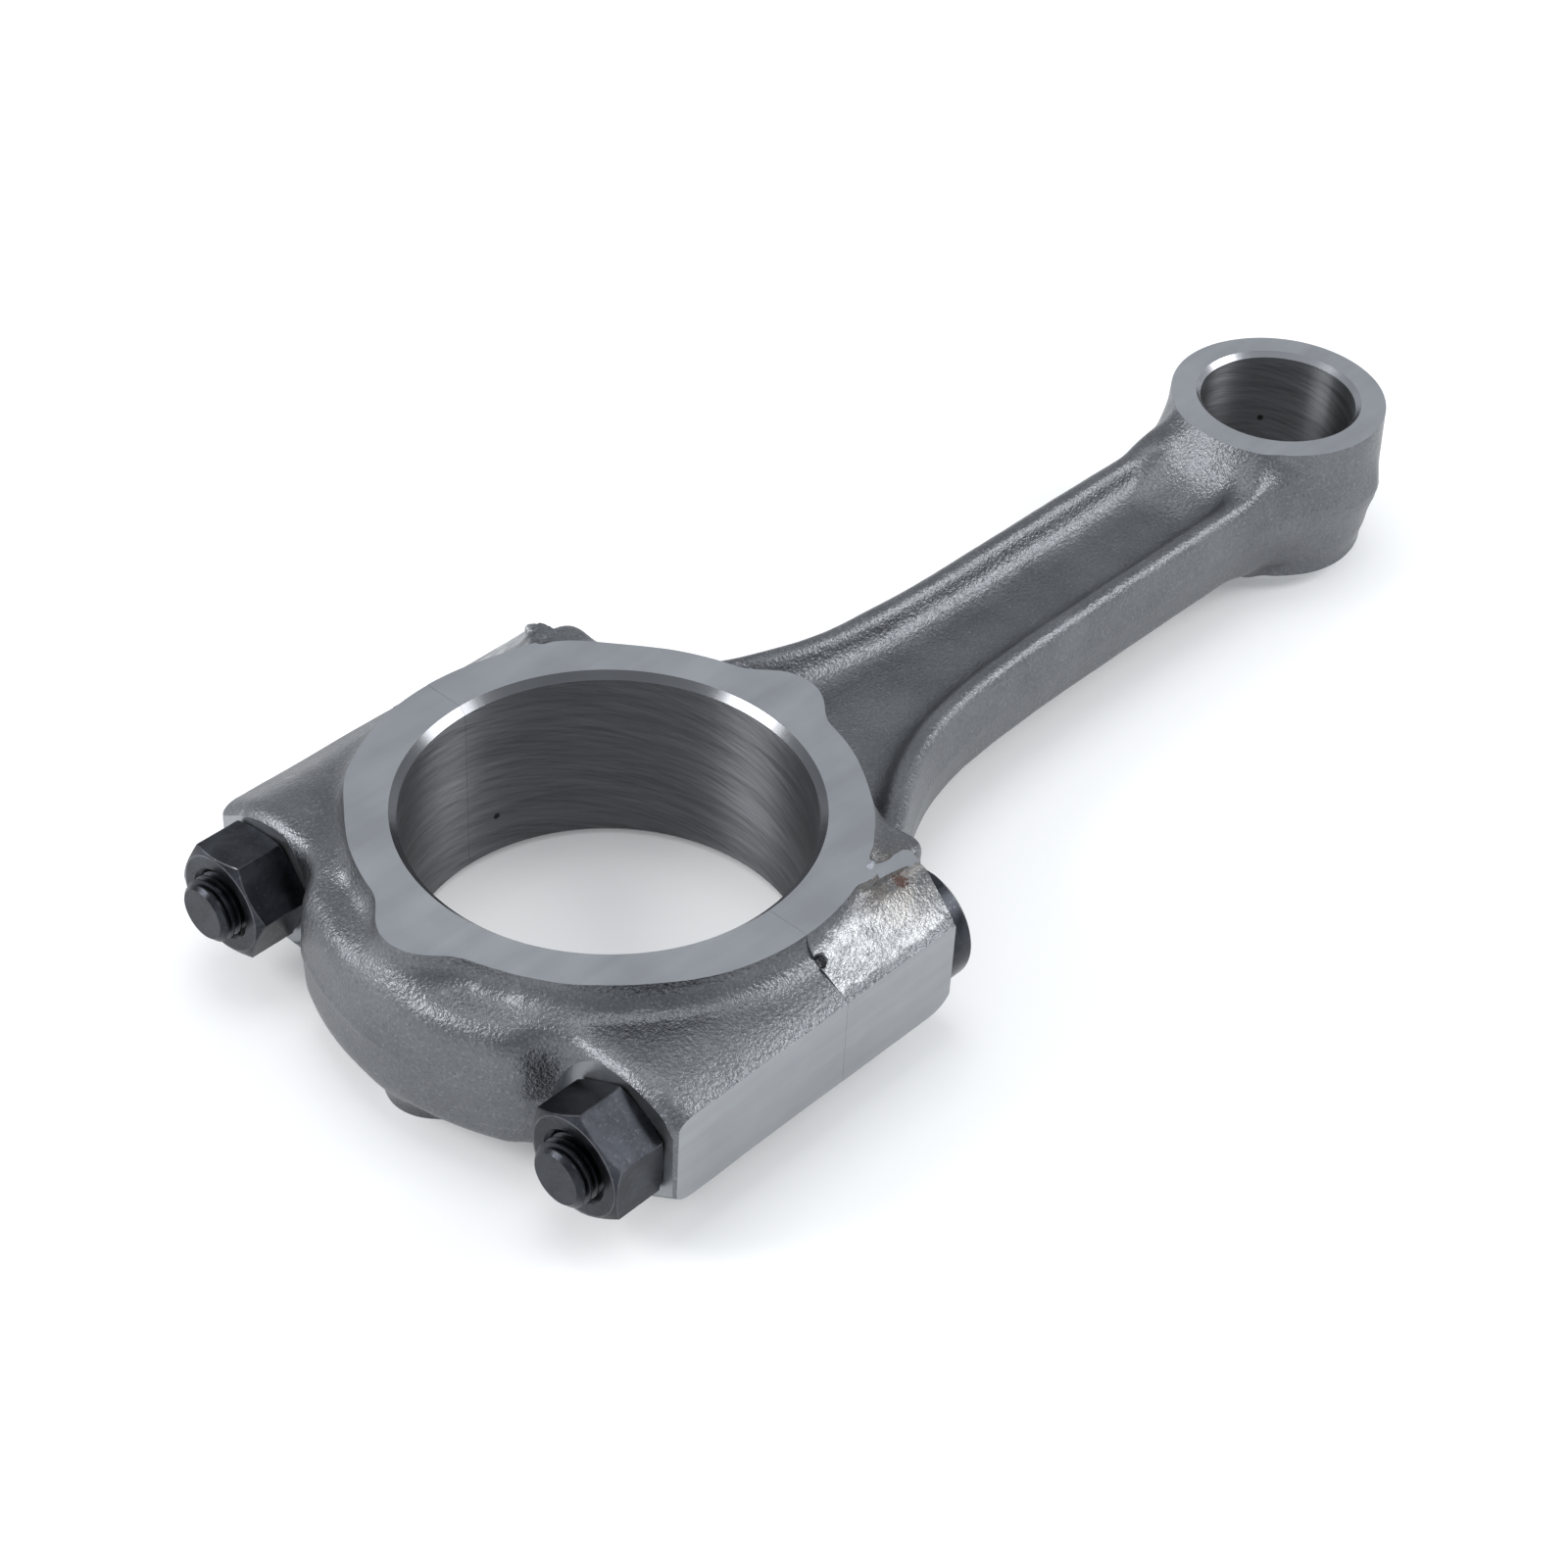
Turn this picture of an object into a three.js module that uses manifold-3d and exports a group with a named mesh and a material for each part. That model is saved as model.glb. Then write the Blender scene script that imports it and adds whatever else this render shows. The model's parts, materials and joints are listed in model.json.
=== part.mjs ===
// Connecting rod: forged I-beam rod, separate bearing cap, two cap bolts and two hexagon nuts.
//
// Units are millimetres. Inside the assembly group +X runs from the big end to the small end, +Z is the
// direction of both bore axes, and the origin is the centre of the big-end bore. The group itself is
// moved so that the part lies on its lower thrust face, with the origin under the middle of its length.
import * as THREE from 'three';
import { mergeVertices } from 'three/addons/utils/BufferGeometryUtils.js';
import Module from 'manifold-3d';

// ---- driving dimensions -------------------------------------------------------------------------------

const CENTRE_DISTANCE = 130;       // big-end bore axis to small-end bore axis
const PARTING_GAP = 0.3;           // between the rod's and the cap's joint faces
const SEAT_MARGIN = 1.0;           // of the bolt head's seat around the head
const FIT_GAP = 0.3;               // between a fastener and whatever it passes through or bears on
const OVERLAP = 0.5;               // of two pieces of one solid, so that they join
const FAR = 200;                   // past the end of the part, whichever way

const BIG_END = {
  boreRadius: 24.4,
  chamfer: 1.0,
  ringRadius: 30.3,                // edge of the machined thrust face
  halfWidth: 12.7,
  lobeRadius: 6.3,                 // the rounded pad where the thrust face meets the beam, and its twin
  lobeOffset: 27.3,
};

const SMALL_END = {
  boreRadius: 10.75,
  chamfer: 0.7,
  rimRadius: 15.25,                // at the upper machined face
  lowerRimRadius: 14.6,            // the lower die half has more draft
  flashRadius: 15.6,               // at the forging's mid-plane
  halfWidth: 10.3,
  rampDrop: 1.2,                   // from the machined face down to the top of the ramp
  footRadius: 19.6,                // where the ramp from the web starts
};

const BEAM = {
  halfWidth: 10.4,
  halfHeight: 6.2,
  flangeWidth: 3.4,
  webHalfThickness: 2.3,
  rootX: 24,                       // the flanges meet the stops beside the bolt heads here
  rootHalfWidth: 23.3,
  flareReach: 15,                  // how fast the flare dies out along the beam
  flarePower: 1.45,
  flareEndX: 60,                   // the flanges run parallel from here to the small end
  endX: 117,
};

const BOSS = {
  innerY: 19,
  outerY: 37.6,                    // milled side face
  flatHalfHeight: 5.8,             // of the milled side face
  shoulderY: 32.3,
  halfHeight: 9.4,
  nutEndX: -27.4,                  // forged end beside the nut
  headEndX: 18.3,                  // seat of the bolt head
};

// The broad forged shoulder beside a bolt head, which the rod's boss climbs to from the joint face.
const SHOULDER = {
  jointHalfHeight: 10.0,
  halfHeight: 12.0,
  edgeY: 31.9,
  tipX: 22.0,                      // it reaches past the seat, over the bolt head
  tipY: 28.8,
};

// The forged stop that keeps a bolt head from turning.
const STOP = { innerY: 19, outerY: 23.3, startX: 15, endX: 24, halfHeight: 8.4 };

const CAP_BODY = {
  collarRadius: 31.4,
  collarHalfHeight: 11.3,
  crestRadius: 34.4,
  crestHalfHeight: 9.1,
  edgeRadius: 36.3,
  edgeHalfHeight: 7.2,
  flashRadius: 37,
  halfLength: 21,                  // across the cap, up to the nuts
};

const BOLT = {
  offsetY: 29.4,
  shankRadius: 4.2,
  threadRadius: 4.0,
  shankEndX: -13,
  threadRunout: 0.5,
  pointX: -36.9,
  pointChamfer: 0.6,
  headRadius: 7.7,
  headThickness: 4.2,
  headChamfer: 0.6,
  headTopFlat: 7.1,                // head trimmed flat above and below at this distance from its axis
  headInnerFlat: 5.6,              // and on the side that faces the stop
};

const NUT = {
  acrossFlats: 13,
  height: 7.2,
  seatX: -27.0,
  spotRadius: 9.0,                 // of the machined seat on the cap
  faceRadius: 6.4,
  cornerChamfer: 0.8,
};

const STEEL = { forged: 0x6b7075, cap: 0x6e7378, fastener: 0x33373c };

const BIG_SEGMENTS = 72;
const SMALL_SEGMENTS = 40;

// ---- solids -------------------------------------------------------------------------------------------

const wasm = await Module();
wasm.setup();

function solid(geometry) {
  const bare = geometry.clone();
  bare.deleteAttribute('normal');
  bare.deleteAttribute('uv');
  const merged = mergeVertices(bare, 1e-4);
  return new wasm.Manifold(new wasm.Mesh({
    numProp: 3,
    vertProperties: new Float32Array(merged.attributes.position.array),
    triVerts: new Uint32Array(merged.index.array),
  }));
}

function geometryOf(manifold) {
  const mesh = manifold.getMesh();
  const geometry = new THREE.BufferGeometry();
  geometry.setAttribute('position', new THREE.BufferAttribute(new Float32Array(mesh.vertProperties), 3));
  geometry.setIndex(new THREE.BufferAttribute(new Uint32Array(mesh.triVerts), 1));
  geometry.computeVertexNormals();
  return geometry;
}

function unite(pieces) {
  return pieces.reduce((whole, piece) => whole.add(piece));
}

function cutAll(body, cutters) {
  return cutters.reduce((rest, cutter) => rest.subtract(cutter), body);
}

// A plate with the outline given in the XY plane, centred on the mid-plane.
function plate(points, halfHeight) {
  const shape = new THREE.Shape(points.map(([x, y]) => new THREE.Vector2(x, y)));
  const geometry = new THREE.ExtrudeGeometry(shape, { depth: 2 * halfHeight, bevelEnabled: false });
  return solid(geometry.translate(0, 0, -halfHeight));
}

// A bar along X between two stations, with the outline given in the YZ plane.
function barAlongX(points, fromX, toX) {
  const shape = new THREE.Shape(points.map(([y, z]) => new THREE.Vector2(y, z)));
  const geometry = new THREE.ExtrudeGeometry(shape, { depth: toX - fromX, bevelEnabled: false });
  geometry.applyMatrix4(new THREE.Matrix4().makeBasis(
    new THREE.Vector3(0, 1, 0), new THREE.Vector3(0, 0, 1), new THREE.Vector3(1, 0, 0)));
  return solid(geometry.translate(fromX, 0, 0));
}

function box(fromX, toX, fromY, toY, halfHeight) {
  const geometry = new THREE.BoxGeometry(toX - fromX, toY - fromY, 2 * halfHeight);
  return solid(geometry.translate((fromX + toX) / 2, (fromY + toY) / 2, 0));
}

// The smallest convex solid round some points.
function hull(points) {
  return wasm.Manifold.hull(points);
}

// A box on one side of the part's length, between two distances from its centre line.
function sideBox(fromX, toX, side, innerY, outerY, halfHeight) {
  const [fromY, toY] = side > 0 ? [innerY, outerY] : [-outerY, -innerY];
  return box(fromX, toX, fromY, toY, halfHeight);
}

// A turned body about the vertical line through (x, 0), from a profile of [radius, z] points.
function turned(profile, x, segments) {
  const points = profile.map(([radius, z]) => new THREE.Vector2(radius, z));
  const geometry = new THREE.LatheGeometry(points, segments);
  return solid(geometry.rotateX(Math.PI / 2).translate(x, 0, 0));
}

// A turned body about the line through y parallel to X, from a profile of [radius, x] points.
function turnedAlongX(profile, y, segments) {
  const points = profile.map(([radius, x]) => new THREE.Vector2(radius, x));
  const geometry = new THREE.LatheGeometry(points, segments);
  return solid(geometry.rotateZ(-Math.PI / 2).translate(0, y, 0));
}

// A drum whose outer profile is mirrored about the mid-plane: [radius, z] points with z from high to low.
function drum(upperHalf, x, segments) {
  const top = upperHalf[0][1];
  const lowerHalf = upperHalf.filter(([, z]) => z > 0).map(([radius, z]) => [radius, -z]);
  return turned([[0, -top], ...lowerHalf, ...upperHalf.reverse(), [0, top]], x, segments);
}

// A through bore with a 45 degree chamfer at both mouths.
function bore({ boreRadius, chamfer, halfWidth }, x, segments) {
  const past = chamfer + 1;
  return drum([
    [boreRadius + past, halfWidth + past - chamfer],
    [boreRadius, halfWidth - chamfer],
  ], x, segments);
}

// ---- shared features of rod and cap -------------------------------------------------------------------

function thrustRing(side) {
  const { ringRadius, halfWidth, lobeRadius, lobeOffset } = BIG_END;
  const ring = drum([[ringRadius, halfWidth]], 0, BIG_SEGMENTS);
  const lobe = drum([[lobeRadius, halfWidth]], side * lobeOffset, SMALL_SEGMENTS);
  return ring.add(lobe);
}

function boltBoss(side, fromX, toX) {
  const { innerY, shoulderY, outerY, halfHeight, flatHalfHeight } = BOSS;
  const outline = [
    [innerY, -halfHeight],
    [shoulderY, -halfHeight],
    [outerY, -flatHalfHeight],
    [outerY, flatHalfHeight],
    [shoulderY, halfHeight],
    [innerY, halfHeight],
  ].map(([y, z]) => [side * y, z]);
  return barAlongX(side > 0 ? outline : outline.reverse(), fromX, toX);
}

// A round cutter along a bolt's axis, between two places on it.
function boltDrill(radius, fromX, toX, side) {
  const profile = [[0, fromX], [radius, fromX], [radius, toX], [0, toX]];
  return turnedAlongX(profile, side * BOLT.offsetY, SMALL_SEGMENTS);
}

function boltHole(side) {
  return boltDrill(BOLT.shankRadius + FIT_GAP, -FAR, FAR, side);
}

const SIDES = [1, -1];

// ---- rod ----------------------------------------------------------------------------------------------

// Outer edge of one flange, from the bolt boss to the small end: a flare that dies out in a straight run.
function flangeEdge(inset) {
  const { rootX, rootHalfWidth, flareReach, flarePower, flareEndX, halfWidth, endX } = BEAM;
  const steps = 14;
  const flare = Array.from({ length: steps }, (_, k) => {
    const along = (flareEndX - rootX) * k / steps;
    const spread = (rootHalfWidth - halfWidth) * Math.exp(-((along / flareReach) ** flarePower));
    return [rootX + along, halfWidth + spread - inset];
  });
  return [...flare, [flareEndX, halfWidth - inset], [endX, halfWidth - inset]];
}

function beamPlate(inset, halfHeight) {
  const edge = flangeEdge(inset);
  const mirrored = edge.map(([x, y]) => [x, -y]);
  return plate([...mirrored, ...edge.reverse()], halfHeight);
}

function beam() {
  const flanges = beamPlate(0, BEAM.halfHeight).subtract(beamPlate(BEAM.flangeWidth, FAR));
  return flanges.add(beamPlate(BEAM.flangeWidth - OVERLAP, BEAM.webHalfThickness));
}

function smallEnd() {
  const { rimRadius, lowerRimRadius, flashRadius, halfWidth, rampDrop, footRadius } = SMALL_END;
  const eye = turned([
    [0, -halfWidth],
    [lowerRimRadius, -halfWidth],
    [flashRadius, 0],
    [rimRadius, halfWidth],
    [0, halfWidth],
  ], CENTRE_DISTANCE, BIG_SEGMENTS);
  const ramp = drum([
    [lowerRimRadius, halfWidth - rampDrop],
    [footRadius, BEAM.webHalfThickness],
  ], CENTRE_DISTANCE, BIG_SEGMENTS);
  const beamSide = box(BEAM.flareEndX, CENTRE_DISTANCE, -BEAM.halfWidth, BEAM.halfWidth, FAR);
  return eye.add(ramp.intersect(beamSide));
}

// The climbing boss, and the tip that reaches past the bolt head's seat.
function headShoulder(side) {
  const { innerY, outerY, shoulderY, flatHalfHeight, headEndX } = BOSS;
  const { jointHalfHeight, halfHeight, edgeY, tipX, tipY } = SHOULDER;
  const section = (x, outline) => outline.flatMap(([y, z]) => [[x, side * y, z], [x, side * y, -z]]);
  const joint = section(0, [[innerY, jointHalfHeight], [shoulderY - 0.8, jointHalfHeight], [outerY, flatHalfHeight]]);
  const seat = section(headEndX, [[innerY, halfHeight], [edgeY, halfHeight], [outerY, flatHalfHeight]]);
  const root = section(headEndX - OVERLAP, [[innerY, halfHeight], [tipY + 1, halfHeight]]);
  const tip = section(tipX, [[innerY, halfHeight - 0.6], [tipY - 1.5, halfHeight - 0.6]]);
  return hull([...joint, ...seat]).add(hull([...root, ...tip]));
}

function headStop(side) {
  const { innerY, outerY, startX, endX, halfHeight } = STOP;
  return sideBox(startX, endX, side, innerY, outerY, halfHeight);
}

// The machined seat of the bolt head, which ends at the stop.
function headSeat(side) {
  const recess = boltDrill(BOLT.headRadius + SEAT_MARGIN, BOSS.headEndX, FAR, side);
  return recess.intersect(sideBox(0, FAR, side, STOP.outerY, FAR, FAR));
}

function rodForging() {
  const blank = unite([
    thrustRing(1),
    beam(),
    smallEnd(),
    ...SIDES.map((side) => boltBoss(side, -1, BOSS.headEndX)),
    ...SIDES.map(headShoulder),
    ...SIDES.map(headStop),
  ]);
  return cutAll(blank, [
    box(-FAR, PARTING_GAP / 2, -FAR, FAR, FAR),
    bore(BIG_END, 0, BIG_SEGMENTS),
    bore(SMALL_END, CENTRE_DISTANCE, BIG_SEGMENTS),
    ...SIDES.map(boltHole),
    ...SIDES.map(headSeat),
  ]);
}

// ---- cap ----------------------------------------------------------------------------------------------

function capBody() {
  const b = CAP_BODY;
  const barrel = drum([
    [b.collarRadius, b.collarHalfHeight],
    [b.crestRadius, b.crestHalfHeight],
    [b.edgeRadius, b.edgeHalfHeight],
    [b.flashRadius, 0],
  ], 0, BIG_SEGMENTS);
  const belly = box(-FAR, 0, -b.halfLength, b.halfLength, FAR);
  return barrel.intersect(belly);
}

function spotFace(side) {
  return boltDrill(NUT.spotRadius, -FAR, NUT.seatX, side);
}

function bearingCap() {
  const blank = unite([
    thrustRing(-1),
    capBody(),
    ...SIDES.map((side) => boltBoss(side, BOSS.nutEndX, 1)),
  ]);
  return cutAll(blank, [
    box(-PARTING_GAP / 2, FAR, -FAR, FAR, FAR),
    bore(BIG_END, 0, BIG_SEGMENTS),
    ...SIDES.map(boltHole),
    ...SIDES.map(spotFace),
  ]);
}

// ---- fasteners ----------------------------------------------------------------------------------------

function capBolt(side) {
  const b = BOLT;
  const seatX = BOSS.headEndX + FIT_GAP;
  const topX = seatX + b.headThickness;
  const body = turnedAlongX([
    [0, b.pointX],
    [b.threadRadius - b.pointChamfer, b.pointX],
    [b.threadRadius, b.pointX + b.pointChamfer],
    [b.threadRadius, b.shankEndX - b.threadRunout],
    [b.shankRadius, b.shankEndX],
    [b.shankRadius, seatX],
    [b.headRadius, seatX],
    [b.headRadius, topX - b.headChamfer],
    [b.headRadius - b.headChamfer, topX],
    [0, topX],
  ], side * b.offsetY, SMALL_SEGMENTS);
  return body.intersect(sideBox(-FAR, FAR, side, b.offsetY - b.headInnerFlat, FAR, b.headTopFlat));
}

function hexNut(side, turn) {
  const { acrossFlats, height, seatX, faceRadius, cornerChamfer } = NUT;
  const cornerRadius = acrossFlats / Math.sqrt(3);
  const backX = seatX - FIT_GAP;
  const frontX = backX - height;
  const hexagon = Array.from({ length: 6 }, (_, k) => {
    const angle = turn + k * Math.PI / 3;
    return [side * BOLT.offsetY + cornerRadius * Math.cos(angle), cornerRadius * Math.sin(angle)];
  });
  const prism = barAlongX(hexagon, frontX, backX);
  const envelopeRadius = cornerRadius + FIT_GAP;
  const envelope = turnedAlongX([
    [0, frontX],
    [faceRadius, frontX],
    [envelopeRadius, frontX + cornerChamfer],
    [envelopeRadius, backX - cornerChamfer],
    [faceRadius, backX],
    [0, backX],
  ], side * BOLT.offsetY, SMALL_SEGMENTS);
  const hole = boltDrill(BOLT.threadRadius + FIT_GAP, -FAR, FAR, side);
  return prism.intersect(envelope).subtract(hole);
}

// ---- assembly -----------------------------------------------------------------------------------------

function steel(color, roughness, metalness) {
  return new THREE.MeshStandardMaterial({ color, roughness, metalness });
}

function part(name, manifold, material) {
  const mesh = new THREE.Mesh(geometryOf(manifold), material);
  mesh.name = name;
  return mesh;
}

const NUT_TURN = { left: THREE.MathUtils.degToRad(54), right: THREE.MathUtils.degToRad(32.3) };
const fastenerSteel = () => steel(STEEL.fastener, 0.5, 0.8);

const conRod = new THREE.Group();
conRod.add(part('rod_forging', rodForging(), steel(STEEL.forged, 0.55, 0.9)));
conRod.add(part('bearing_cap', bearingCap(), steel(STEEL.cap, 0.55, 0.9)));
for (const [place, side] of [['left', 1], ['right', -1]]) {
  conRod.add(part(`cap_bolt_${place}`, capBolt(side), fastenerSteel()));
  conRod.add(part(`cap_nut_${place}`, hexNut(side, NUT_TURN[place]), fastenerSteel()));
}

const smallEndTip = CENTRE_DISTANCE + SMALL_END.flashRadius;
conRod.position.set(-(smallEndTip + BOLT.pointX) / 2, 0, BIG_END.halfWidth);

const assembly = new THREE.Group();
assembly.add(conRod);

export default assembly;
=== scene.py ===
"""Looks of the connecting rod: a forged rod and cap with machined faces, two threaded bolts, two nuts.

Shapes are worked out in millimetres about the centre of the big-end bore, +X towards the small end and
+Z along the bores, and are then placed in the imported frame. A forging is made as its rough blank first, a
smooth level set whose parts run into each other through fillets, and is then machined: planes, bores and
seats are boolean cuts.
"""
import json
import math

import bmesh
import bpy
import numpy as np
import openvdb
from mathutils import Matrix, Vector


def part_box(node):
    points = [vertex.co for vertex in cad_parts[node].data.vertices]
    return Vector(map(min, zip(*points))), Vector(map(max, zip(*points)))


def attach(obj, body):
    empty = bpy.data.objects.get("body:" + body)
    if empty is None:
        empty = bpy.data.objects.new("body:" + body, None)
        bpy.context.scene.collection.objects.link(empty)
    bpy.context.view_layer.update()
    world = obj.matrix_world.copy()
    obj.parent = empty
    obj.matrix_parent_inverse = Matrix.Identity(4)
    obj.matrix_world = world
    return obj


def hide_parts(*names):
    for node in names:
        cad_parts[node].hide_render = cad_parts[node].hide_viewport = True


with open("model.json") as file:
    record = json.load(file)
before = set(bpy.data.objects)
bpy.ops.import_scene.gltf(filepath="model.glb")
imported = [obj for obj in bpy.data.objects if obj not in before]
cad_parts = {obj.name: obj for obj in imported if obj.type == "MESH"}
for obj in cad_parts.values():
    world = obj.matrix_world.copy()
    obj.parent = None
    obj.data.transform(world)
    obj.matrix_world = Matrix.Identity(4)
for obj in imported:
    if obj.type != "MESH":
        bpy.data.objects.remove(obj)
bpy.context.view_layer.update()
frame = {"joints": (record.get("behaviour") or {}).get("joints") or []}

# ---- places and sizes, in millimetres -------------------------------------------------------------------

MM = 0.001
CAD_HALF_GAP = 0.15                # the CAD rod's joint face stands this far from the big-end axis
rod_low, rod_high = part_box("rod_forging")
bolt_low, bolt_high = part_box("cap_bolt_left")
ORIGIN = Vector((rod_low.x - CAD_HALF_GAP * MM, 0, (rod_low.z + rod_high.z) / 2))
JOINTS = {joint["name"]: joint for joint in frame["joints"]}
BOLT_Y = JOINTS["nut_left_turn"]["pos_m"][1] / MM
BIG_HALF_WIDTH = (rod_high.z - rod_low.z) / 2 / MM
SMALL_FLASH_RADIUS = 15.6
SMALL_X = (rod_high.x - ORIGIN.x) / MM - SMALL_FLASH_RADIUS
POINT_X = (bolt_low.x - ORIGIN.x) / MM
HEAD_TOP_X = (bolt_high.x - ORIGIN.x) / MM

HALF_GAP = 0.015                   # the finished joint closes to a hairline
BIG_BORE, BIG_CHAMFER = 24.4, 0.9
SMALL_BORE, SMALL_CHAMFER = 10.75, 0.7
SMALL_HALF_WIDTH = 10.3
SIDE_Y = 37.6                      # milled side faces
SEAT_X = 18.3                      # bolt head seats
SPOT_X, SPOT_RADIUS = -27.0, 9.0   # nut seats
STOP_Y = 23.5                      # face that keeps a bolt head from turning
SEAT_HALF_HEIGHT = 8.0
SEAT_DEPTH = 12.0                  # how far the seats' cuts reach past the seats
LIP_Y = 31.2                       # the forged lip over a bolt head ends here
BOLT_HOLE = 4.3
RING_RADIUS = 30.3                 # thrust ring round the big bore
PAD_X, PAD_RADIUS = 27.3, 6.3      # rounded pad on the ring
BARREL_RADIUS = 36.8               # the cap's outer wall
FAR = 200.0
STOCK = 1.0                        # left on the joint faces before they are cut

VOXEL = 0.5
UNEVENNESS = ((0.10, 7.0), (0.028, 2.6), (0.007, 1.2))   # height and size of the forged skin's waves
FORGED_CREASE, TURNED_CREASE = 32, 18                     # degrees from which an edge is sharp


# ---- level sets -----------------------------------------------------------------------------------------

def soft_min(a, b, reach):
    """Union with a fillet; reach is about the fillet's radius."""
    h = np.maximum(reach - np.abs(a - b), 0) / reach
    return np.minimum(a, b) - h * h * reach / 4


def soft_max(a, b, reach):
    """Intersection with a rounded edge."""
    return -soft_min(-a, -b, reach)


def thrust_ring(x, y, z, side):
    """The ring round the big bore, with the rounded pad on its axis; side is 1 on the rod, -1 on the cap."""
    up = np.abs(z)
    radius = np.hypot(x, y)
    swell = np.clip((np.abs(y) / np.maximum(radius, 1) - np.where(y < 0, 0.8, 0.64)) / 0.2, 0, 1)
    ring = radius - RING_RADIUS - 0.7 * swell * swell * (3 - 2 * swell)
    pad = np.hypot(x - side * PAD_X, y) - PAD_RADIUS
    wall = soft_min(ring, pad, 2.2) - 0.09 * (BIG_HALF_WIDTH - up)
    return np.maximum(wall, up - BIG_HALF_WIDTH - 0.7)


def shoulder(x, y, z, steepness):
    """The sloping shoulder of a bolt boss. The dies sat a little off, so one upper edge is higher."""
    side, up = np.abs(y), np.abs(z)
    edge = 5.4 + np.where((y < 0) & (z > 0), 1.4, 0.0)
    return (steepness * (side - SIDE_Y) + up - edge) / np.sqrt(1 + steepness ** 2)


def cap_boss(x, y, z):
    side, up = np.abs(y), np.abs(z)
    block = soft_max(up - 9.4, shoulder(x, y, z, 0.62), 2.2)
    block = soft_max(block, side - SIDE_Y - 0.8, 0.3)
    ends = soft_max(-27.5 - x, x - 3.0, 0.5)
    return np.maximum(soft_max(block, ends, 3.2), 16 - side)


def rod_boss(x, y, z):
    """The boss on the rod climbs from the joint face to a broad shoulder beside the bolt head."""
    side, up = np.abs(y), np.abs(z)
    reach = np.clip(x, 0, 20)
    late = np.maximum(reach - 14, 0) ** 2
    top = up - 10.2 - 0.08 * reach - 0.05 * late
    plateau = np.maximum(top, up - 11.9 - 0.1 * (side - 27.0))
    lip_width = np.abs(side - 29.0 - 0.13 * (reach - 12)) - 0.95
    lip = np.maximum(up - np.where(y < 0, 13.0, 12.2), lip_width)
    lip = soft_max(lip, 11.5 - x, 0.8)
    block = soft_min(plateau, lip, 0.5)
    block = soft_max(block, shoulder(x, y, z, 0.58 + 0.0009 * reach ** 2 + 0.0097 * late), 0.7)
    block = soft_max(block, side - SIDE_Y - 0.8, 0.3)
    tip = soft_max(x - 22.3, side - 29.7 - 12 * np.maximum(19.1 - x, 0), 2.6)
    block = soft_max(block, tip, 1.6)
    corner = ((x - SEAT_X) + (up - 4.0) + 1.5 * (side - SIDE_Y)) / 2.06
    block = soft_max(block, np.where(z < 0, corner, -9.0), 1.0)
    return np.maximum(block, np.maximum(20 - side, -4 - x))


def beam(x, y, z):
    """The I-beam: two flanges that flare towards the bolts, and the web between them."""
    side, up = np.abs(y), np.abs(z)
    along = np.maximum(x - 24, 0) / 15
    flare = 12.9 * np.exp(-along ** 1.45)
    slope = flare * 1.45 * along ** 0.45 / 15
    stretch = np.sqrt(1 + slope * slope)
    half_width = 10.75 + flare - 0.15 * up
    outer = (side - half_width) / stretch
    inner = (side - half_width) / stretch + 2.6 + 0.36 * np.maximum(6.2 - up, 0)
    bar = soft_max(outer, up - 6.2, 1.7)
    pocket = soft_max(inner, 2.3 - up, 4.0)
    bar = soft_max(bar, -pocket, 1.5)
    return np.maximum(bar, np.maximum(20 - x, x - SMALL_X))


def small_eye(x, y, z):
    radius = np.hypot(x - SMALL_X, y)
    upper = SMALL_FLASH_RADIUS - 0.36 - 0.035 * z
    lower = SMALL_FLASH_RADIUS - 0.36 + 0.075 * z
    seam = 0.18 * np.exp(-(z / 0.5) ** 2)
    wall = radius - np.where(z > 0, upper, lower) - seam
    eye = soft_max(wall, -z - SMALL_HALF_WIDTH + 0.75, 3.6)
    eye = np.maximum(eye, z - SMALL_HALF_WIDTH - 0.6)
    rim = np.maximum(radius - 14.2, np.abs(z + 8) - 2.9)
    return soft_min(eye, rim, 0.8)


def ramp_to_eye(x, y, z):
    """The slope from the web up to the rim of the small eye."""
    radius = np.hypot(x - SMALL_X, y)
    slope = 0.77 * (radius - 15.6) + 0.64 * (np.abs(z) - 9.8)
    sides = soft_max(slope, np.abs(y) - 8.6, 1.5)
    return np.maximum(sides, x - SMALL_X)


def rod_blank(x, y, z):
    up = np.abs(z)
    fillet = np.clip(0.85 * (SMALL_HALF_WIDTH - up) + 0.4, 0.6, 8.0)
    stem = soft_min(beam(x, y, z), ramp_to_eye(x, y, z), 4.2)
    body = soft_min(stem, small_eye(x, y, z), fillet)
    body = soft_min(body, rod_boss(x, y, z), 2.2)
    body = soft_min(body, thrust_ring(x, y, z, 1), 2.6)
    burr = np.sqrt((x - 17.5) ** 2 + (y - 31.6) ** 2 + (z - 11.5) ** 2) - 0.7
    chip = np.sqrt((x - 0.5) ** 2 + ((y + 32.6) * 0.8) ** 2 + (z - 9.3) ** 2) - 0.75
    body = soft_max(soft_min(body, burr, 0.8), -chip, 0.3)
    return np.maximum(body, -STOCK - x)


def cap_blank(x, y, z):
    side, up = np.abs(y), np.abs(z)
    radius = np.hypot(x, y)
    seam = 0.15 * np.exp(-(z / 0.5) ** 2)
    barrel = soft_max(radius - BARREL_RADIUS + 0.05 * up - seam, up - 9.15, 4.4)
    barrel = soft_max(barrel, side - 20.6, 5.0)
    body = soft_min(barrel, cap_boss(x, y, z), 3.2)
    return np.maximum(soft_min(body, thrust_ring(x, y, z, -1), 3.0), x - STOCK)


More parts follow.
